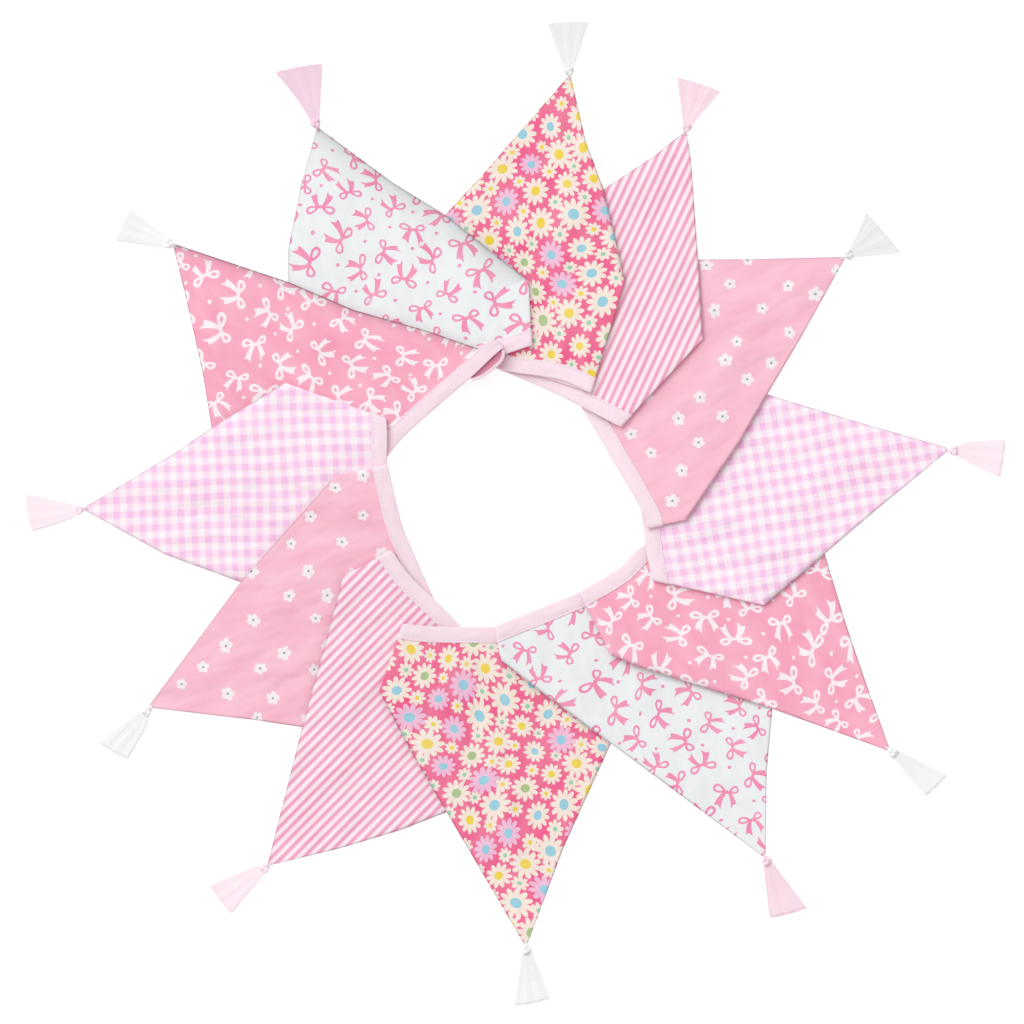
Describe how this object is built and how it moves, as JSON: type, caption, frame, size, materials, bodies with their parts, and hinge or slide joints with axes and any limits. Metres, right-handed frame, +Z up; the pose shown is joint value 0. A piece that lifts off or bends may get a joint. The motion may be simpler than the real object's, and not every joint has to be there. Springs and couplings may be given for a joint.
{
  "type": "fabric bunting",
  "caption": "Cloth bunting laid out as a ring: triangular printed flags overlap on one folded tape, each with a thread tassel at its tip.",
  "frame": {"origin": "under the middle of the ring's outline, on the surface it lies on", "axes": "+Z up, off the surface; +Y towards the top of the picture; +X to its right"},
  "size_m": [0.5877, 0.5901, 0.0155],
  "materials": {
    "daisy_cloth": "pink cotton with a daisy print",
    "stripe_cloth": "white cotton with pink stripes",
    "blossom_cloth": "pink cotton with small white blossoms",
    "gingham_cloth": "mauve and white checked cotton",
    "pink_bow_cloth": "pink cotton with white bows",
    "white_bow_cloth": "white cotton with pink bows",
    "tape": "very pale pink folded cotton tape, matt",
    "white_thread": "white silky thread",
    "pink_thread": "pale pink silky thread"
  },
  "bodies": {
    "root": {"flag_01": "daisy_cloth", "binding_01": "tape", "tassel_01": "white_thread", "flag_02": "stripe_cloth", "binding_02": "tape", "tassel_02": "pink_thread", "flag_03": "blossom_cloth", "binding_03": "tape", "tassel_03": "white_thread", "flag_04": "gingham_cloth", "binding_04": "tape", "tassel_04": "pink_thread", "flag_05": "pink_bow_cloth", "binding_05": "tape", "tassel_05": "white_thread", "flag_06": "white_bow_cloth", "binding_06": "tape", "tassel_06": "pink_thread", "flag_07": "daisy_cloth", "binding_07": "tape", "tassel_07": "white_thread", "flag_08": "stripe_cloth", "binding_08": "tape", "tassel_08": "pink_thread", "flag_09": "blossom_cloth", "binding_09": "tape", "tassel_09": "white_thread", "flag_10": "gingham_cloth", "binding_10": "tape", "tassel_10": "pink_thread", "flag_11": "pink_bow_cloth", "binding_11": "tape", "tassel_11": "white_thread", "flag_12": "white_bow_cloth", "binding_12": "tape", "tassel_12": "pink_thread", "tie_loop": "tape"}
  },
  "joints": []
}
